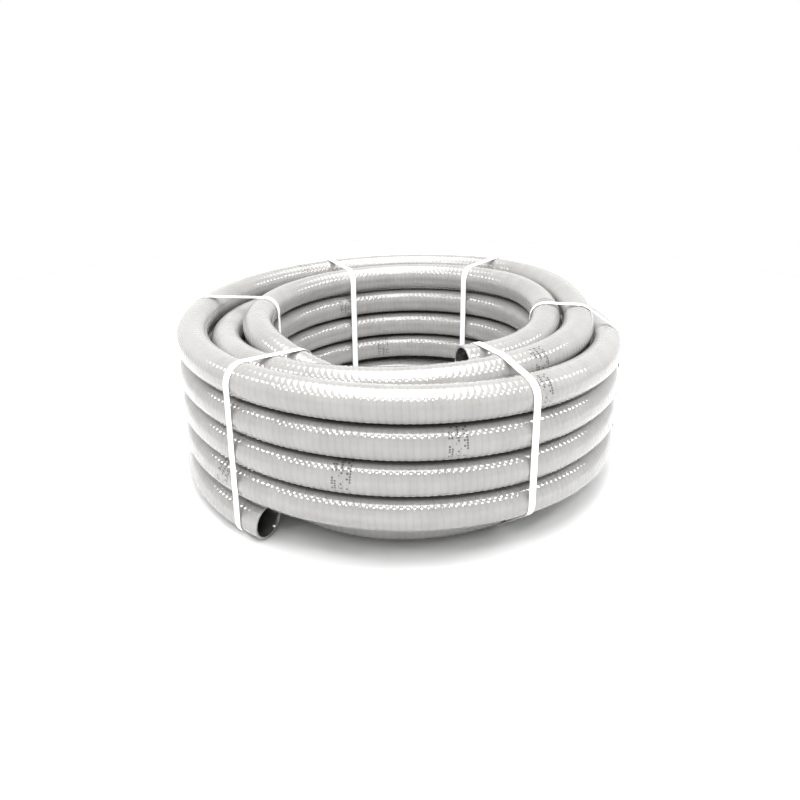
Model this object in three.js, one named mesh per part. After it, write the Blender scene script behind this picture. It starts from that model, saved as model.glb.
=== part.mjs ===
// Coil of flexible spiral-reinforced waste hose, tied with six flat straps.
// Millimetres and degrees, +Z up, origin on the floor under the middle of the coil.
// The hose runs from its upper end down the inner column, up the middle column and
// down the outer column to its lower end. An angle along it counts every turn, so
// angle 290 is the upper end and angle 650 is the same side of the coil one turn on.
import * as THREE from 'three';

// Hose section
const HOSE_DIAMETER = 50;
const BORE_DIAMETER = 43;
const SECTION_SIDES = 8;
const SECTION_INSET = 0.35;

// Coil
const ROW_PITCH = 50.6;
const INNER_RADIUS = 239;
const MIDDLE_RADIUS = 291;
const OUTER_RADIUS = 343;
const TURN = 360;
const STEP_ANGLE = 18;
const UPPER_END = 290;
const LOWER_END = 5276;
const END_PIECE_ANGLE = 18;

// Where the hose changes column: the angles between which it moves across and climbs
const LOWER_CROSSING = { across: [1970, 2070], climb: [1900, 2000] };
const UPPER_CROSSING = { across: [3600, 3660], climb: [3570, 3625] };

// Heights of each column, in rows above the floor at one angle, one row per turn
const INNER_TOP = { angle: 450, rows: 4.99 };
const MIDDLE_BOTTOM = { angle: 2050, rows: 0.52 };
const OUTER_TOP = { angle: 3870, rows: 4.49 };
const INNER_DIP = { middle: 285, before: 85, after: 110, rows: 0.91 };
const UPPER_END_LIFT = { rows: 0.12, span: [290, 330] };
const LEAN = 0.0337;

// Where the outer turns lie between the rows of the others, all the others stand further out
const NESTING = { middle: 347, before: 55, after: 55, radius: 7 };

// The lowest pass of each column sags until it lies on the floor
const SAG_ROWS = 0.2;
const INNER_SAG = [1700, 1760];
const MIDDLE_SAG = [2220, 2400];
const OUTER_SAG = [4960, 5060];
const FLOOR_ROWS = 0.5;
const FLOOR_SOFTNESS = 0.03;

// Straps
const STRAP_ANGLES = [347, 52, 114, 172, 230.5, 296.5];
const STRAP_LAP_OUTSIDE = [false, true, true, false, false, false];
const STRAP_WIDTH = 11;
const STRAP_THICKNESS = 0.9;
const STRAP_SIDE_CLEARANCE = 2.0;
const STRAP_REST_CLEARANCE = 0.4;
const STRAP_ARC_STEP = 15;
const LAP_LENGTH = 32;
const LAP_DROP = 30;

// Gap left between two solids that meet
const HALF_GAP = 0.2;

const hoseMaterial = new THREE.MeshStandardMaterial({ color: 0xd9d6d2, roughness: 0.32, metalness: 0 });
const strapMaterial = new THREE.MeshStandardMaterial({ color: 0xf6f6f4, roughness: 0.55, metalness: 0 });

function radians(degrees) {
  return THREE.MathUtils.degToRad(degrees);
}

function mix(a, b, share) {
  return a + (b - a) * share;
}

function ramp(angle, [from, to]) {
  return THREE.MathUtils.smoothstep(angle, from, to);
}

// Smooth 0 to 1 to 0 hump once a turn
function hump(angle, { middle, before, after }) {
  const away = THREE.MathUtils.euclideanModulo(angle - middle + TURN / 2, TURN) - TURN / 2;
  const share = Math.min(Math.abs(away) / (away < 0 ? before : after), 1);
  return Math.cos((share * Math.PI) / 2) ** 2;
}

function helixRows(column, angle, rise) {
  return column.rows + (rise * (angle - column.angle)) / TURN;
}

function radiusAt(angle) {
  const lower = ramp(angle, LOWER_CROSSING.across);
  const upper = ramp(angle, UPPER_CROSSING.across);
  const wound = mix(mix(INNER_RADIUS, MIDDLE_RADIUS, lower), OUTER_RADIUS, upper);
  return wound + NESTING.radius * hump(angle, NESTING) * (1 - upper);
}

function sagAt(angle) {
  const innerToMiddle = ramp(angle, INNER_SAG) * (1 - ramp(angle, MIDDLE_SAG));
  return SAG_ROWS * (innerToMiddle + ramp(angle, OUTER_SAG));
}

function heightAt(angle) {
  const lifted = UPPER_END_LIFT.rows * (1 - ramp(angle, UPPER_END_LIFT.span));
  const inner = helixRows(INNER_TOP, angle, -1) - INNER_DIP.rows * hump(angle, INNER_DIP) + lifted;
  const middle = helixRows(MIDDLE_BOTTOM, angle, 1);
  const outer = helixRows(OUTER_TOP, angle, -1);
  const lower = mix(inner, Math.max(middle, FLOOR_ROWS), ramp(angle, LOWER_CROSSING.climb));
  const wound = mix(lower, outer, ramp(angle, UPPER_CROSSING.climb));
  const forward = radiusAt(angle) * Math.sin(radians(angle)) + MIDDLE_RADIUS;
  const above = wound - (LEAN * forward) / ROW_PITCH - sagAt(angle) - FLOOR_ROWS;
  const rested = (above + Math.hypot(above, FLOOR_SOFTNESS)) / 2;
  return STRAP_THICKNESS + STRAP_REST_CLEARANCE + HOSE_DIAMETER / 2 + rested * ROW_PITCH;
}

function centreAt(angle) {
  const radius = radiusAt(angle);
  const turned = radians(angle);
  return new THREE.Vector3(radius * Math.cos(turned), radius * Math.sin(turned), heightAt(angle));
}

// The centreline between two angles, with frames that keep the section upright
class HoseRun extends THREE.Curve {
  constructor(from, to) {
    super();
    this.from = from;
    this.to = to;
  }

  getPoint(share) {
    return centreAt(mix(this.from, this.to, share));
  }

  getSpacedPoints(steps) {
    return this.getPoints(steps);
  }

  computeFrenetFrames(steps) {
    const frames = { tangents: [], normals: [], binormals: [] };
    const up = new THREE.Vector3(0, 0, 1);
    for (let step = 0; step <= steps; step += 1) {
      const tangent = this.getTangent(step / steps);
      const outward = new THREE.Vector3().crossVectors(tangent, up).normalize();
      frames.tangents.push(tangent);
      frames.binormals.push(outward);
      frames.normals.push(new THREE.Vector3().crossVectors(outward, tangent));
    }
    return frames;
  }
}

function polygonPoints(diameter) {
  const points = [];
  for (let side = 0; side < SECTION_SIDES; side += 1) {
    const turned = ((side + 0.5) * 2 * Math.PI) / SECTION_SIDES;
    points.push(new THREE.Vector2(Math.cos(turned), Math.sin(turned)).multiplyScalar(diameter / 2));
  }
  return points;
}

function hoseSection() {
  const section = new THREE.Shape(polygonPoints(HOSE_DIAMETER - 2 * SECTION_INSET));
  section.holes.push(new THREE.Path(polygonPoints(BORE_DIAMETER)));
  return section;
}

function hosePiece(name, from, to) {
  const startGap = from === UPPER_END ? 0 : HALF_GAP;
  const endGap = to === LOWER_END ? 0 : HALF_GAP;
  const first = from + THREE.MathUtils.radToDeg(startGap / radiusAt(from));
  const last = to - THREE.MathUtils.radToDeg(endGap / radiusAt(to));
  const geometry = new THREE.ExtrudeGeometry(hoseSection(), {
    steps: Math.round((to - from) / STEP_ANGLE),
    bevelEnabled: false,
    extrudePath: new HoseRun(first, last),
  });
  const mesh = new THREE.Mesh(geometry, hoseMaterial);
  mesh.name = name;
  return mesh;
}

// One continuous hose, drawn as its two cut ends and a solid for each turn between them
function hosePieces() {
  const first = UPPER_END + END_PIECE_ANGLE;
  const last = LOWER_END - END_PIECE_ANGLE;
  const pieces = [hosePiece('hose_upper_end', UPPER_END, first)];
  let from = first;
  for (let turn = 1; from < last; turn += 1) {
    const to = Math.min(UPPER_END + turn * TURN, last);
    pieces.push(hosePiece(`hose_turn_${String(turn).padStart(2, '0')}`, from, to));
    from = to;
  }
  pieces.push(hosePiece('hose_lower_end', last, LOWER_END));
  return pieces;
}

// Where the straight step of hose round one angle meets the upright plane at that angle
function facetedCentre(angle) {
  const before = UPPER_END + Math.floor((angle - UPPER_END) / STEP_ANGLE) * STEP_ANGLE;
  const start = centreAt(before);
  const step = centreAt(before + STEP_ANGLE).sub(start);
  const across = new THREE.Vector3(-Math.sin(radians(angle)), Math.cos(radians(angle)), 0);
  const met = start.clone().addScaledVector(step, -start.dot(across) / step.dot(across));
  return new THREE.Vector2(Math.hypot(met.x, met.y), met.z);
}

// Centres of every pass of the hose through the upright plane at one angle
function passesAt(angle) {
  const passes = [];
  for (let at = angle; at < LOWER_END; at += TURN) {
    if (at > UPPER_END) {
      passes.push(facetedCentre(at));
    }
  }
  return passes;
}

// Outline of a band pulled tight round the hose's passes, counter-clockwise
function bandOutline(centres, outset) {
  const reach = HOSE_DIAMETER / 2 + STRAP_SIDE_CLEARANCE + outset;
  const reachDown = HOSE_DIAMETER / 2 + STRAP_REST_CLEARANCE + outset;
  const points = [];
  for (const centre of centres) {
    for (let turned = 0; turned < TURN; turned += STRAP_ARC_STEP) {
      const around = radians(turned);
      const across = reach * Math.cos(around);
      const upward = (around < Math.PI ? reach : reachDown) * Math.sin(around);
      points.push(new THREE.Vector2(across, upward).add(centre));
    }
  }
  points.sort((a, b) => a.x - b.x || a.y - b.y);
  return [...halfHull(points), ...halfHull(points.reverse())];
}

function halfHull(points) {
  const chain = [];
  for (const point of points) {
    while (chain.length > 1 && !turnsLeft(chain.at(-2), chain.at(-1), point)) {
      chain.pop();
    }
    chain.push(point);
  }
  return chain.slice(0, -1);
}

function turnsLeft(a, b, c) {
  const SAME_LINE = 1e-3;
  return (b.x - a.x) * (c.y - a.y) - (b.y - a.y) * (c.x - a.x) > SAME_LINE;
}

// The strap's two ends lie over each other along a straight stretch of one side
function withLap(outline, outside) {
  const lean = outside ? 1 : -1;
  const lengths = outline.map((point, index) => {
    const next = outline[(index + 1) % outline.length];
    return lean * (next.y - point.y);
  });
  const longest = lengths.indexOf(Math.max(...lengths));
  const start = outline[longest];
  const end = outline[(longest + 1) % outline.length];
  const along = end.clone().sub(start).normalize();
  const outward = new THREE.Vector2(along.y, -along.x).multiplyScalar(STRAP_THICKNESS);
  const from = start.clone().addScaledVector(along, LAP_DROP);
  const to = from.clone().addScaledVector(along, LAP_LENGTH);
  const lap = [from, from.clone().add(outward), to.clone().add(outward), to];
  return [...outline.slice(0, longest + 1), ...lap, ...outline.slice(longest + 1)];
}

function strap(name, angle, lapOutside) {
  const passes = passesAt(angle);
  const section = new THREE.Shape(withLap(bandOutline(passes, STRAP_THICKNESS), lapOutside));
  section.holes.push(new THREE.Path(bandOutline(passes, 0)));
  const geometry = new THREE.ExtrudeGeometry(section, { depth: STRAP_WIDTH, bevelEnabled: false });
  geometry.translate(0, 0, -STRAP_WIDTH / 2);
  geometry.rotateX(Math.PI / 2);
  const mesh = new THREE.Mesh(geometry, strapMaterial);
  mesh.rotation.z = radians(angle);
  mesh.name = name;
  return mesh;
}

function straps() {
  return STRAP_ANGLES.map((angle, index) => strap(`strap_${index + 1}`, angle, STRAP_LAP_OUTSIDE[index]));
}

const hoseCoil = new THREE.Group();
hoseCoil.name = 'sewer_hose_coil';
hoseCoil.add(...hosePieces(), ...straps());

export default hoseCoil;
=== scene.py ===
"""Coil of light grey spiral-reinforced waste hose, tied with six flat plastic straps.

Everything is in metres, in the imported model's frame: +Z up, origin on the floor under the
middle of the coil. An angle along the hose counts every turn, in degrees, as in the CAD model.
"""

import bpy
import numpy as np
from mathutils import Matrix, Vector


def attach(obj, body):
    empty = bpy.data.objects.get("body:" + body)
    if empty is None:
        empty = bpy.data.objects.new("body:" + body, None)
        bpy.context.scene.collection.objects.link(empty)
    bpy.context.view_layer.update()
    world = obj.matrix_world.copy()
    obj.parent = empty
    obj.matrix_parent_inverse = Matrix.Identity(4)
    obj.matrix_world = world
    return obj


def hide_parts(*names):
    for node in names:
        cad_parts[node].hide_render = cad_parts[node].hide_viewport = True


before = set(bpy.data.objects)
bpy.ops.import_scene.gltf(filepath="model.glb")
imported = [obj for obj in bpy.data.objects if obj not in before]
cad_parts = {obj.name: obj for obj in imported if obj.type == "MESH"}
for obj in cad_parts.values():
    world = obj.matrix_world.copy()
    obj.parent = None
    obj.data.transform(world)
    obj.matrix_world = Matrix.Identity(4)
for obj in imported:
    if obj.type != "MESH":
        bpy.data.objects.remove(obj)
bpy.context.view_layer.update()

MM = 0.001
SEED = 7

# Hose
HOSE_RADIUS = 24.8 * MM
BORE_RADIUS = 21.5 * MM
HOSE_DIAMETER = 50 * MM
RIB_PITCH = 9.0 * MM
GROOVE_DEPTH = 0.6 * MM
GROOVE_SHARE = 0.5
RIB_UNEVENNESS = 0.04 * MM
EDGE_ROUND = 0.5 * MM
PLAIN_END = 3.0 * MM
THREAD_INSET = 0.2 * RIB_PITCH
RIBS_GROW_OVER = 18 * MM
MIDDLE_OF_WALL = GROOVE_DEPTH / 3

# Coil, as in the CAD model
ROW_PITCH = 50.6 * MM
INNER_RADIUS = 239 * MM
MIDDLE_RADIUS = 291 * MM
OUTER_RADIUS = 343 * MM
TURN = 360.0
UPPER_END = 290.0
LOWER_END = 5276.0
LOWER_ACROSS, LOWER_CLIMB = (1970, 2070), (1900, 2000)
UPPER_ACROSS, UPPER_CLIMB = (3600, 3660), (3570, 3625)
INNER_TOP = (450, 4.99)
MIDDLE_BOTTOM = (2050, 0.52)
OUTER_TOP = (3870, 4.49)
INNER_DIP, INNER_DIP_ROWS = (285, 85, 110), 0.91
NESTING, NESTING_RADIUS = (347, 55, 55), 7 * MM
LIFT_ROWS, LIFT_SPAN = 0.12, (290, 330)
LEAN = 0.0337
SAG_ROWS = 0.2
INNER_SAG, MIDDLE_SAG, OUTER_SAG = (1700, 1760), (2220, 2400), (4960, 5060)
FLOOR_ROWS, FLOOR_SOFTNESS = 0.5, 0.03
REST_HEIGHT = 1.3 * MM
HOSE_NODES = ["hose_upper_end", *(f"hose_turn_{n:02d}" for n in range(1, 15)), "hose_lower_end"]

# Straps
STRAP_ANGLES = (347, 52, 114, 172, 230.5, 296.5)
STRAP_LAP_OUTSIDE = (False, True, True, False, False, False)
STRAP_WIDTH = 11 * MM
STRAP_THICKNESS = 0.8 * MM
STRAP_EDGE = 0.15 * MM
STRAP_GAP = 0.1 * MM
LAP_LENGTH = 32 * MM
LAP_RISE = 6 * MM
LAP_GAP = 0.05 * MM
WELD_LENGTH = LAP_LENGTH * 2 / 3
WELD_DEPTH = 0.3 * MM
WELD_RIDGE_PITCH = 4 * MM
SAME_SIDE = 4 * MM
SAME_POINT = 0.01 * MM

# Printing on the hose, in plain dots: (angle along the hose, angle round it from the top)
MARKS = (
    (350, 6),
    (681, -67),
    (839, -66),
    (1538, -75),
    (3547, 60),
    (3725, -9),
    (3899, 60),
    (4240, 70),
    (4577, 63),
    (4906, 74),
)
MARK_LINE_PITCH = 9 * MM
MARK_LINES = 3
MARK_ROUND = 45 * MM
MARK_DOT_PITCH = 3.6 * MM
MARK_DOT = 0.7
FAR_AWAY = 1000.0

# Mesh density
AROUND = 16
BORE_RING_STEP = 50 * MM
PATH_STEP_ANGLE = 5
TABLE_STEPS = 24000
HULL_ARC_STEP = 1.5
STRAP_STEP = 2 * MM
TANGENT_STEP = 0.05


# ---------------------------------------------------------------- camera


def make_camera():
    """The photograph's viewing angle: from the front, looking 16 degrees down."""
    data = bpy.data.cameras.new("camera")
    data.sensor_width = 36
    data.lens = 29.53
    data.shift_y = -0.1375
    camera = bpy.data.objects.new("camera", data)
    bpy.context.collection.objects.link(camera)
    forward = Vector((0.02651, 0.95934, -0.28100))
    right = Vector((0.99954, -0.02963, -0.00686))
    up = right.cross(forward).normalized()
    right = forward.cross(up).normalized()
    turned = Matrix((right, up, -forward)).transposed()
    camera.matrix_world = Matrix.Translation((-0.0283, -1.0751, 0.5908)) @ turned.to_4x4()
    bpy.context.scene.camera = camera


# ---------------------------------------------------------------- the winding


def mix(a, b, share):
    return a + (b - a) * share


def ramp(angle, span):
    share = np.clip((angle - span[0]) / (span[1] - span[0]), 0, 1)
    return share * share * (3 - 2 * share)


def hump(angle, shape):
    """0 to 1 to 0 once a turn; shape is its middle angle and its reach before and after."""
    middle, before, after = shape
    away = (angle - middle + TURN / 2) % TURN - TURN / 2
    share = np.minimum(np.abs(away) / np.where(away < 0, before, after), 1)
    return np.cos(share * np.pi / 2) ** 2


def helix_rows(column, angle, rise):
    return column[1] + rise * (angle - column[0]) / TURN


def radius_at(angle):
    inside = mix(INNER_RADIUS, MIDDLE_RADIUS, ramp(angle, LOWER_ACROSS))
    upper = ramp(angle, UPPER_ACROSS)
    wound = mix(inside, OUTER_RADIUS, upper)
    return wound + NESTING_RADIUS * hump(angle, NESTING) * (1 - upper)


def sag_at(angle):
    inner_to_middle = ramp(angle, INNER_SAG) * (1 - ramp(angle, MIDDLE_SAG))
    return SAG_ROWS * (inner_to_middle + ramp(angle, OUTER_SAG))


def height_at(angle):
    lifted = LIFT_ROWS * (1 - ramp(angle, LIFT_SPAN))
    dip = INNER_DIP_ROWS * hump(angle, INNER_DIP)
    inner = helix_rows(INNER_TOP, angle, -1) - dip + lifted
    middle = np.maximum(helix_rows(MIDDLE_BOTTOM, angle, 1), FLOOR_ROWS)
    outer = helix_rows(OUTER_TOP, angle, -1)
    wound = mix(mix(inner, middle, ramp(angle, LOWER_CLIMB)), outer, ramp(angle, UPPER_CLIMB))
    forward = radius_at(angle) * np.sin(np.radians(angle)) + MIDDLE_RADIUS
    above = wound - LEAN * forward / ROW_PITCH - sag_at(angle) - FLOOR_ROWS
    rested = (above + np.hypot(above, FLOOR_SOFTNESS)) / 2
    return REST_HEIGHT + HOSE_DIAMETER / 2 + rested * ROW_PITCH


def centre_at(angle):
    angle = np.asarray(angle, float)
    radius, turned = radius_at(angle), np.radians(angle)
    return np.stack([radius * np.cos(turned), radius * np.sin(turned), height_at(angle)], -1)


def unit(vectors):
    return vectors / np.linalg.norm(vectors, axis=-1, keepdims=True)


class Route:
    """The hose's centreline, looked up by the length along it."""

    def __init__(self):
        self.angles = np.linspace(UPPER_END, LOWER_END, TABLE_STEPS)
        steps = np.linalg.norm(np.diff(centre_at(self.angles), axis=0), axis=1)
        self.along = np.concatenate([[0.0], np.cumsum(steps)])
        self.length = float(self.along[-1])

    def along_at(self, angle):
        return np.interp(angle, self.angles, self.along)

    def frames(self, along):
        """Centre, upward and outward directions at each length along the hose."""
        angle = np.interp(along, self.along, self.angles)
        ahead, behind = centre_at(angle + TANGENT_STEP), centre_at(angle - TANGENT_STEP)
        tangent = unit(ahead - behind)
        outward = unit(np.cross(tangent, (0.0, 0.0, 1.0)))
        return centre_at(angle), np.cross(outward, tangent), outward

    def points(self, along, around, radius):
        """Points around the hose; around turns from the top towards the outside of the coil."""
        centre, upward, outward = self.frames(along)
        spoke = upward * np.cos(around)[:, None] + outward * np.sin(around)[:, None]
        return centre + spoke * radius[:, None]


# ---------------------------------------------------------------- meshes


def new_object(name, points, faces, material):
    """faces is a list of arrays or lists, each with a row of vertex numbers for each face."""
    rows = [np.asarray(block, np.int32) for block in faces]
    corners = np.concatenate([block.ravel() for block in rows])
    sizes = np.concatenate([np.full(len(block), block.shape[1], np.int32) for block in rows])
    mesh = bpy.data.meshes.new(name)
    mesh.vertices.add(len(points))
    mesh.vertices.foreach_set("co", np.asarray(points, np.float32).ravel())
    mesh.loops.add(len(corners))
    mesh.loops.foreach_set("vertex_index", corners)
    mesh.polygons.add(len(sizes))
    starts = np.concatenate([[0], np.cumsum(sizes)[:-1]]).astype(np.int32)
    mesh.polygons.foreach_set("loop_start", starts)
    mesh.update(calc_edges=True)
    mesh.polygons.foreach_set("use_smooth", np.ones(len(sizes), bool))
    mesh.materials.append(material)
    obj = bpy.data.objects.new(name, mesh)
    bpy.context.collection.objects.link(obj)
    return obj


def add_attribute(obj, name, values):
    values = np.asarray(values, np.float32)
    kind = "FLOAT" if values.ndim == 1 else "FLOAT_VECTOR"
    attribute = obj.data.attributes.new(name, kind, "POINT")
    attribute.data.foreach_set("value" if values.ndim == 1 else "vector", values.ravel())


def sharpen(obj, chosen):
    """Marks as sharp each edge whose two vertices are both chosen."""
    edges = np.empty(len(obj.data.edges) * 2, np.int32)
    obj.data.edges.foreach_get("vertices", edges)
    both = chosen[edges.reshape(-1, 2)].all(axis=1)
    attribute = obj.data.attributes.new("sharp_edge", "BOOLEAN", "EDGE")
    attribute.data.foreach_set("value", both)


def between_rings(lower, upper):
    """Quads between two rings, facing out where the upper one is further along the hose."""
    return np.stack([lower, np.roll(lower, -1), np.roll(upper, -1), upper], -1)


def between_threads(low, high):
    return np.stack([low[:-1], low[1:], high[1:], high[:-1]], -1)


# ---------------------------------------------------------------- hose


class Skin:
    """Collects the hose's vertices, with what its material needs to know about each."""

    def __init__(self):
        self.rows = []
        self.count = 0

    def add(self, along, around, radius, rib=0.5, inside=0.0):
        parts = np.broadcast_arrays(along, around, radius, rib, inside)
        self.rows.append(np.stack([part.ravel() for part in parts], -1))
        numbers = np.arange(self.count, self.count + parts[0].size).reshape(parts[0].shape)
        self.count += parts[0].size
        return numbers

    def columns(self):
        return np.concatenate(self.rows).T


def end_rings(skin, place, inward):
    """Rings of one square-cut end, from the outer skin round the rim to the bore."""
    around = np.arange(AROUND) * 2 * np.pi / AROUND
    outer = HOSE_RADIUS - MIDDLE_OF_WALL
    profile = (
        (PLAIN_END, outer, 0.0),
        (EDGE_ROUND, outer, 0.0),
        (0.0, outer - EDGE_ROUND, 0.0),
        (0.0, BORE_RADIUS + EDGE_ROUND, 0.0),
        (EDGE_ROUND, BORE_RADIUS, 1.0),
    )
    return [
        skin.add(place + inward * depth, around, radius, inside=inside)
        for depth, radius, inside in profile
    ]


def spiral_threads(skin, length):
    """The crest and the groove of the rib, which winds round the hose from end to end."""
    rng = np.random.default_rng(SEED)
    turns = int((length - 2 * PLAIN_END) / RIB_PITCH) - 1
    start = PLAIN_END + THREAD_INSET
    pitch = (length - 2 * start) / (turns + GROOVE_SHARE)
    step = np.arange(turns * AROUND + 1)
    uneven = rng.normal(0, RIB_UNEVENNESS, turns + 1)
    swell = np.interp(step, np.arange(turns + 1) * AROUND, uneven)
    around = step * 2 * np.pi / AROUND
    threads = []
    for share, depth, rib in ((0.0, 0.0, 1.0), (GROOVE_SHARE, GROOVE_DEPTH, 0.0)):
        along = start + pitch * (step / AROUND + share)
        from_end = np.clip(np.minimum(along, length - along) / RIBS_GROW_OVER, 0, 1)
        radius = HOSE_RADIUS - mix(MIDDLE_OF_WALL, depth + np.abs(swell), from_end)
        threads.append(skin.add(along, around, radius, rib=mix(0.5, rib, from_end)))
    return threads


def bore_rings(skin, first, last, length):
    around = np.arange(AROUND) * 2 * np.pi / AROUND
    places = np.linspace(0, length, int(length / BORE_RING_STEP))[1:-1]
    between = skin.add(places[:, None], around[None, :], BORE_RADIUS, inside=1.0)
    return np.concatenate([first[None], between, last[None]])


def hose_faces(crest, groove, upper, lower, bore):
    faces = [
        between_threads(crest, groove),
        between_threads(groove[:-AROUND], crest[AROUND:]),
    ]
    faces += [between_rings(b, a) for a, b in zip(upper[:-1], upper[1:])]
    faces += [between_rings(a, b) for a, b in zip(lower[:-1], lower[1:])]
    # the bore faces the other way
    low, high = bore[:-1], bore[1:]
    quads = np.stack([low, high, np.roll(high, -1, 1), np.roll(low, -1, 1)], -1)
    faces.append(quads.reshape(-1, 4))
    # the thread's two ends meet the plain ends in a step
    head, tail = upper[0], lower[0]
    faces.append(between_threads(head, crest[:AROUND]))
    faces.append([[head[-1], head[0], crest[0], groove[0], crest[AROUND], crest[AROUND - 1]]])
    last = groove[-AROUND - 1:]
    faces.append(between_threads(last[1:-1], tail[1:]))
    faces.append([[last[-2], last[-1], tail[0], tail[-1]]])
    faces.append([[last[0], last[1], tail[1], tail[0], last[-1], crest[-1]]])
    return faces


def nearest_mark(route, along, around):
    """For each vertex, how far along the nearest mark is, and the sine and cosine round to it."""
    result = np.tile([FAR_AWAY, 0.0, -1.0], (len(along), 1))
    for along_angle, round_angle in MARKS:
        away = along - route.along_at(along_angle)
        near = np.abs(away) < MARK_LINES * MARK_LINE_PITCH * 2
        turned = around[near] - np.radians(round_angle)
        result[near] = np.stack([away[near], np.sin(turned), np.cos(turned)], -1)
    return result


def gap_to_neighbours(route, points, along):
    """How far each point is from the surface of the nearest other turn."""
    angle = np.interp(along, route.along, route.angles)
    nearest = np.full(len(points), FAR_AWAY)
    for turns in range(1, int((LOWER_END - UPPER_END) / TURN) + 1):
        for other in (angle - turns * TURN, angle + turns * TURN):
            there = (other >= UPPER_END) & (other <= LOWER_END)
            away = np.linalg.norm(points[there] - centre_at(other[there]), axis=1) - HOSE_RADIUS
            nearest[there] = np.minimum(nearest[there], away)
    return np.maximum(nearest, 0)


def build_hose(route, material):
    skin = Skin()
    crest, groove = spiral_threads(skin, route.length)
    upper = end_rings(skin, 0.0, 1)
    lower = end_rings(skin, route.length, -1)
    bore = bore_rings(skin, upper[-1], lower[-1], route.length)
    along, around, radius, rib, inside = skin.columns()
    points = route.points(along, around, radius)
    hose = new_object("hose", points, hose_faces(crest, groove, upper, lower, bore), material)
    add_attribute(hose, "along", along)
    add_attribute(hose, "rib", rib)
    # inside marks the bore, which the material paints near black as shade
    add_attribute(hose, "inside", inside)
    # the gap to the nearest other turn sets where the material paints crevice shade
    add_attribute(hose, "gap", gap_to_neighbours(route, points, along))
    add_attribute(hose, "mark", nearest_mark(route, along, around))
    in_groove = np.zeros(len(points), bool)
    in_groove[groove] = True
    sharpen(hose, in_groove)
    path = centre_at(np.arange(UPPER_END, LOWER_END + 0.1, PATH_STEP_ANGLE))
    path = np.concatenate([path, centre_at([LOWER_END])])
    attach(hose, "root")
    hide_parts(*HOSE_NODES)
    return hose


# ---------------------------------------------------------------- straps


def hull_outline(strap_angle):
    """A taut loop round the hoses at one angle: points (radius, z) and the ways they face."""
    first = strap_angle + TURN * np.ceil((UPPER_END - strap_angle) / TURN)
    angles = np.arange(first, LOWER_END, TURN)
    centres = np.stack([radius_at(angles), height_at(angles)], -1)
    turned = np.radians(np.arange(0, TURN, HULL_ARC_STEP))
    directions = np.stack([np.cos(turned), np.sin(turned)], -1)
    farthest = centres[np.argmax(directions @ centres.T, axis=1)]
    return farthest + directions * (HOSE_RADIUS + STRAP_GAP), directions


def strap_line(strap_angle, lap_outside):
    """The strap's inner side from its hidden end, once round, to the end lapped over it.

    Gives points (radius, z), outward directions and how far each point is along the strap.
    """
    points, directions = hull_outline(strap_angle)
    side = points[:, 0] * (1 if lap_outside else -1)
    gaps = np.linalg.norm(np.roll(points, -1, axis=0) - points, axis=1)
    upright = np.where(side > side.max() - SAME_SIDE, gaps, 0)
    start = int(np.argmax(upright)) + 1
    points = np.roll(points, -start, axis=0)
    directions = np.roll(directions, -start, axis=0)
    points = np.concatenate([points, points[:1]])
    directions = np.concatenate([directions, directions[:1]])
    along = np.concatenate([[0], np.cumsum(np.linalg.norm(np.diff(points, axis=0), axis=1))])
    keep = np.concatenate([[True], np.diff(along) > SAME_POINT])
    points, directions, along = points[keep], directions[keep], along[keep]
    round_once = along[-1]
    straight = np.linalg.norm(points[-1] - points[-2])
    begin = round_once - (straight + LAP_LENGTH) / 2
    places = np.arange(begin, begin + round_once + LAP_LENGTH, STRAP_STEP)
    places = np.append(places, begin + round_once + LAP_LENGTH)
    wrapped = places % round_once
    line = np.stack([np.interp(wrapped, along, points[:, n]) for n in (0, 1)], -1)
    away = np.stack([np.interp(wrapped, along, directions[:, n]) for n in (0, 1)], -1)
    return line, unit(away), places - begin, round_once


def strap_section():
    """(across, height) of a strip with bevelled edges, counter-clockwise."""
    half, top, edge = STRAP_WIDTH / 2, STRAP_THICKNESS, STRAP_EDGE
    right = [(half - edge, 0), (half, edge), (half, top - edge), (half - edge, top)]
    left = [(-across, height) for across, height in reversed(right)]
    return np.array(right + [(0, top)] + left + [(0, 0)])


def build_strap(number, strap_angle, lap_outside, material):
    line, away, along, round_once = strap_line(strap_angle, lap_outside)
    over = along - (round_once - LAP_RISE)
    lift = (STRAP_THICKNESS + LAP_GAP) * ramp(over, (0, LAP_RISE))
    from_weld = np.abs(along - round_once - LAP_LENGTH / 2)
    wave = 0.5 - 0.5 * np.cos(along * 2 * np.pi / WELD_RIDGE_PITCH)
    ridges = np.where(from_weld < WELD_LENGTH / 2, wave, 0)
    section = strap_section()
    top = section[:, 1] > STRAP_THICKNESS / 2
    height = section[None, :, 1] + lift[:, None] - WELD_DEPTH * ridges[:, None] * top
    turned = np.radians(strap_angle)
    radial = np.array([np.cos(turned), np.sin(turned), 0.0])
    sideways = np.array([-np.sin(turned), np.cos(turned), 0.0])
    upward = np.array([0.0, 0.0, 1.0])
    flat = line[:, None, :] + away[:, None, :] * height[:, :, None]
    points = flat[..., :1] * radial + flat[..., 1:] * upward + section[None, :, :1] * sideways
    count, around = height.shape
    numbers = np.arange(count * around).reshape(count, around)
    low, high = numbers[:-1], numbers[1:]
    quads = np.stack([low, np.roll(low, -1, 1), np.roll(high, -1, 1), high], -1)
    faces = [quads.reshape(-1, 4), [numbers[0][::-1]], [numbers[-1]]]
    strap = new_object(f"strap_band_{number}", points.reshape(-1, 3), faces, material)
    add_attribute(strap, "along", np.repeat(along, around))
    add_attribute(strap, "across", np.tile(section[:, 0], count))
    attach(strap, "root")
    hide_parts(f"strap_{number}")
    return strap


# ---------------------------------------------------------------- materials


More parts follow.
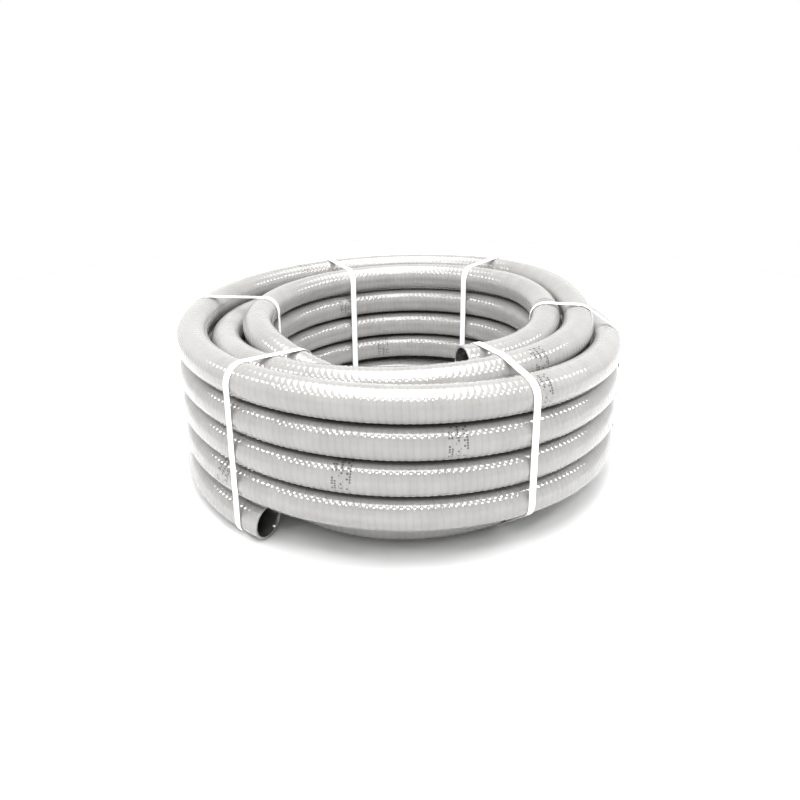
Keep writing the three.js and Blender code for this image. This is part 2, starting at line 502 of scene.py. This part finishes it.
class Nodes:
    """Short calls for making a material's nodes."""

    def __init__(self, name):
        self.material = bpy.data.materials.new(name)
        self.material.use_nodes = True
        self.tree = self.material.node_tree
        self.shader = self.tree.nodes["Principled BSDF"]

    def make(self, kind, settings=(), **inputs):
        node = self.tree.nodes.new(kind)
        for name, value in dict(settings).items():
            setattr(node, name, value)
        for name, value in inputs.items():
            self.put(node, name.replace("_", " "), value)
        return node

    def put(self, node, socket, value):
        target = node.inputs[socket]
        if isinstance(value, bpy.types.NodeSocket):
            self.tree.links.new(value, target)
        else:
            target.default_value = value

    def attribute(self, name, output="Fac"):
        return self.make("ShaderNodeAttribute", {"attribute_name": name}).outputs[output]

    def math(self, operation, *values):
        node = self.make("ShaderNodeMath", {"operation": operation})
        for place, value in enumerate(values):
            self.put(node, place, value)
        return node.outputs[0]

    def remap(self, value, low, high, to_low=0.0, to_high=1.0):
        node = self.make("ShaderNodeMapRange")
        node.interpolation_type = "SMOOTHSTEP"
        for place, number in enumerate((value, low, high, to_low, to_high)):
            self.put(node, place, number)
        return node.outputs[0]

    def blend(self, share, a, b, how="MIX"):
        node = self.make("ShaderNodeMix", {"data_type": "RGBA", "blend_type": how})
        for place, value in ((0, share), (6, a), (7, b)):
            self.put(node, place, value)
        return node.outputs[2]

    def noise(self, scale, detail=2.0, vector=None):
        node = self.make("ShaderNodeTexNoise", Scale=scale, Detail=detail)
        if vector is None:
            vector = self.make("ShaderNodeTexCoord").outputs["Object"]
        self.put(node, "Vector", vector)
        return node.outputs["Fac"]

    def vector(self, x, y, z=0.0):
        return self.make("ShaderNodeCombineXYZ", X=x, Y=y, Z=z).outputs[0]

    def bump(self, height, depth, strength, normal=None):
        node = self.make("ShaderNodeBump", Height=height, Distance=depth, Strength=strength)
        if normal is not None:
            self.put(node, "Normal", normal)
        return node.outputs[0]

    def finish(self, **inputs):
        for name, value in inputs.items():
            self.put(self.shader, name.replace("_", " "), value)
        return self.material


# Noise lies mostly between these two, and is stretched from them to its full range
PATCHY = (0.3, 0.7)

HOSE_LIGHT = (0.300, 0.294, 0.285, 1)
HOSE_DARK = (0.266, 0.261, 0.252, 1)
GROOVE_TINT = (0.95, 0.945, 0.94, 1)
# painted shade: near black, mixed into the hose colour within this reach of another turn,
# standing in for the shadow in the crevices between turns
CREVICE_PAINTED_SHADE = (0.05, 0.048, 0.046, 1)
PAINTED_SHADE_REACH = 7 * MM
# painted shade: the bore is coloured near black, standing in for the shade inside the hose
BORE_PAINTED_SHADE = (0.05, 0.049, 0.048, 1)
INK = (0.02, 0.02, 0.022, 1)
INK_COVER = 0.9
INK_ROUGHNESS = (0.5, 0.5, 0.5, 1)
INK_SHARE_OF_DOTS = 0.55
INK_SHARE_OF_LINE = 0.66
STREAK_SCALE, STREAK_SHARE = 30.0, 0.7
RIB_SHADE_SCALE, RIB_SHADE_SHARE = 60.0, 0.3
RIPPLE_SCALE, RIPPLE_DEPTH, RIPPLE_STRENGTH = 160.0, 0.2 * MM, 0.35
GRAIN_SCALE, GRAIN_DEPTH, GRAIN_STRENGTH = 1600.0, 0.02 * MM, 0.5
GLOSS_SCALE, GLOSS = 90.0, (0.12, 0.20)
STRAP_LIGHT = (0.96, 0.96, 0.955, 1)
STRAP_DARK = (0.90, 0.90, 0.895, 1)
STRAP_SHADE_SCALE, STRAP_SHADE_DETAIL = 60.0, 3.0
STRAP_GLOSS_SCALE, STRAP_GLOSS = 300.0, (0.42, 0.55)
STRAP_GRAIN_SCALE, STRAP_GRAIN_DEPTH, STRAP_GRAIN_STRENGTH = 900.0, 0.03 * MM, 0.5
WEAVE_PITCH, WEAVE_DEPTH, WEAVE_STRENGTH = 1.6 * MM, 0.06 * MM, 0.8
FLOOR_LIGHT = (0.67, 0.67, 0.67, 1)
FLOOR_DARK = (0.65, 0.65, 0.65, 1)


def printed_dots(nodes):
    """Lines of plain dots that run round the hose, a few side by side in each mark."""
    mark = nodes.make("ShaderNodeSeparateXYZ", Vector=nodes.attribute("mark", "Vector"))
    along, sine, cosine = mark.outputs
    over = nodes.math("MULTIPLY", nodes.math("ARCTAN2", sine, cosine), HOSE_RADIUS)
    shifted = nodes.math("ADD", along, MARK_LINES * MARK_LINE_PITCH / 2)
    line = nodes.math("DIVIDE", shifted, MARK_LINE_PITCH)
    cells = [nodes.math("DIVIDE", place, MARK_DOT_PITCH) for place in (shifted, over)]
    picked = nodes.make(
        "ShaderNodeTexWhiteNoise",
        {"noise_dimensions": "2D"},
        Vector=nodes.vector(*(nodes.math("FLOOR", cell) for cell in cells)),
    ).outputs["Value"]
    tests = [
        nodes.math("LESS_THAN", picked, INK_SHARE_OF_DOTS),
        nodes.math("LESS_THAN", nodes.math("FRACT", line), INK_SHARE_OF_LINE),
        nodes.math("LESS_THAN", nodes.math("ABSOLUTE", over), MARK_ROUND / 2),
        nodes.math("LESS_THAN", nodes.math("ABSOLUTE", along), MARK_LINES * MARK_LINE_PITCH / 2),
        *(nodes.math("LESS_THAN", nodes.math("FRACT", cell), MARK_DOT) for cell in cells),
    ]
    ink = tests[0]
    for test in tests[1:]:
        ink = nodes.math("MULTIPLY", ink, test)
    return ink


def hose_material():
    nodes = Nodes("hose_pvc")
    rib = nodes.attribute("rib")
    inside = nodes.attribute("inside")
    along = nodes.attribute("along")
    streaks = nodes.math("MULTIPLY", nodes.noise(STREAK_SCALE, 3.0), STREAK_SHARE)
    place = nodes.vector(nodes.math("MULTIPLY", along, RIB_SHADE_SCALE), 0.5)
    per_rib = nodes.math("MULTIPLY", nodes.noise(1.0, 1.0, place), RIB_SHADE_SHARE)
    shade = nodes.remap(nodes.math("ADD", streaks, per_rib), *PATCHY)
    colour = nodes.blend(shade, HOSE_DARK, HOSE_LIGHT)
    in_groove = nodes.remap(rib, 0.0, 0.5, 1.0, 0.0)
    colour = nodes.blend(in_groove, colour, GROOVE_TINT, "MULTIPLY")
    # painted shade: the colour darkens to near black where another turn of the hose is close, in
    # place of the shadow in the crevices
    painted_crevice_shade = nodes.remap(nodes.attribute("gap"), 0.0, PAINTED_SHADE_REACH, 1.0, 0.0)
    colour = nodes.blend(painted_crevice_shade, colour, CREVICE_PAINTED_SHADE, "MULTIPLY")
    # painted shade: the bore is coloured near black in place of the shade inside the hose
    colour = nodes.blend(inside, colour, BORE_PAINTED_SHADE)
    ink = printed_dots(nodes)
    colour = nodes.blend(nodes.math("MULTIPLY", ink, INK_COVER), colour, INK)
    ripple = nodes.bump(nodes.noise(RIPPLE_SCALE), RIPPLE_DEPTH, RIPPLE_STRENGTH)
    grain = nodes.bump(nodes.noise(GRAIN_SCALE), GRAIN_DEPTH, GRAIN_STRENGTH, ripple)
    rough = nodes.remap(nodes.noise(GLOSS_SCALE), *PATCHY, *GLOSS)
    return nodes.finish(
        Base_Color=colour,
        Roughness=nodes.blend(ink, rough, INK_ROUGHNESS),
        Normal=grain,
        IOR=1.53,
        Coat_Weight=1.0,
        Coat_Roughness=0.03,
    )


def strap_material():
    nodes = Nodes("strap_polypropylene")
    along = nodes.attribute("along")
    across = nodes.attribute("across")
    waves = []
    for lean in (1, -1):
        slanted = nodes.math("MULTIPLY_ADD", across, float(lean), along)
        waves.append(nodes.math("SINE", nodes.math("MULTIPLY", slanted, 2 * np.pi / WEAVE_PITCH)))
    weave = nodes.math("MULTIPLY", *waves)
    shade = nodes.remap(nodes.noise(STRAP_SHADE_SCALE, STRAP_SHADE_DETAIL), *PATCHY)
    colour = nodes.blend(shade, STRAP_DARK, STRAP_LIGHT)
    embossed = nodes.bump(weave, WEAVE_DEPTH, WEAVE_STRENGTH)
    rough = nodes.remap(nodes.noise(STRAP_GLOSS_SCALE), *PATCHY, *STRAP_GLOSS)
    grain = nodes.noise(STRAP_GRAIN_SCALE)
    return nodes.finish(
        Base_Color=colour,
        Roughness=rough,
        Normal=nodes.bump(grain, STRAP_GRAIN_DEPTH, STRAP_GRAIN_STRENGTH, embossed),
        Subsurface_Weight=0.1,
        Subsurface_Scale=1.0 * MM,
    )


def floor_material():
    nodes = Nodes("studio_floor")
    colour = nodes.blend(nodes.remap(nodes.noise(3.0), *PATCHY), FLOOR_DARK, FLOOR_LIGHT)
    return nodes.finish(Base_Color=colour, Roughness=0.8, Specular_IOR_Level=0.1)


# ---------------------------------------------------------------- studio

FLOOR_RADIUS = 1.7
FLOOR_SIDES = 96
HORIZON_LEVEL, HORIZON_UP_TO = 1.0, 0.30
CEILING_LEVEL, CEILING_FROM = 0.35, 0.65
LIGHT_DISTANCE = 6.0
AIM_HEIGHT = 140 * MM
OVERHEAD_SIZE, OVERHEAD_POWER = (5.6, 6.9), 770
SMALL_BOX_SIZE, SMALL_BOX_POWER = (0.85, 0.8), 46
SMALL_BOX_SIDES = range(-96, 97, 24)
SMALL_BOX_RISES = (47, 57)
SMALL_BOX_DROP = 0.13


def build_floor():
    """A round white floor. Past its edge the room below the horizon is as white as it is."""
    turned = np.linspace(0, 2 * np.pi, FLOOR_SIDES, endpoint=False)
    rim = np.stack([np.cos(turned), np.sin(turned), np.zeros(FLOOR_SIDES)], -1) * FLOOR_RADIUS
    new_object("studio_floor", rim, [[list(range(FLOOR_SIDES))]], floor_material())


def add_softbox(name, elevation, azimuth, size, power):
    """An area light aimed at the coil; azimuth 0 is in front of it and 90 at the right."""
    data = bpy.data.lights.new(name, "AREA")
    data.shape = "RECTANGLE"
    data.size, data.size_y = size
    data.energy = power
    light = bpy.data.objects.new(name, data)
    up, side = np.radians(elevation), np.radians(azimuth)
    away = Vector((np.cos(up) * np.sin(side), -np.cos(up) * np.cos(side), np.sin(up)))
    light.location = Vector((0, 0, AIM_HEIGHT)) + away * LIGHT_DISTANCE
    light.rotation_euler = away.to_track_quat("Z", "Y").to_euler()
    bpy.context.collection.objects.link(light)


def make_world():
    """A white room that is brightest low down, so that the backdrop is as white as the floor."""
    world = bpy.data.worlds.new("studio")
    world.use_nodes = True
    tree = world.node_tree
    direction = tree.nodes.new("ShaderNodeTexCoord").outputs["Generated"]
    height = tree.nodes.new("ShaderNodeSeparateXYZ")
    level = tree.nodes.new("ShaderNodeMapRange")
    level.interpolation_type = "SMOOTHSTEP"
    levels = (HORIZON_UP_TO, CEILING_FROM, HORIZON_LEVEL, CEILING_LEVEL)
    for place, value in enumerate(levels, start=1):
        level.inputs[place].default_value = value
    tree.links.new(direction, height.inputs[0])
    tree.links.new(height.outputs["Z"], level.inputs[0])
    background = tree.nodes["Background"]
    background.inputs["Color"].default_value = (1, 1, 1, 1)
    tree.links.new(level.outputs[0], background.inputs["Strength"])
    bpy.context.scene.world = world


def build_studio():
    build_floor()
    make_world()
    add_softbox("overhead_box", 90, 0, OVERHEAD_SIZE, OVERHEAD_POWER)
    for place, side in enumerate(SMALL_BOX_SIDES):
        elevation = SMALL_BOX_RISES[place % 2] - SMALL_BOX_DROP * abs(side)
        add_softbox(f"small_box_{place}", elevation, side, SMALL_BOX_SIZE, SMALL_BOX_POWER)
    bpy.context.scene.view_settings.view_transform = "Standard"


make_camera()
build_hose(Route(), hose_material())
strap_finish = strap_material()
for index, (angle, outside) in enumerate(zip(STRAP_ANGLES, STRAP_LAP_OUTSIDE), start=1):
    build_strap(index, angle, outside, strap_finish)
build_studio()
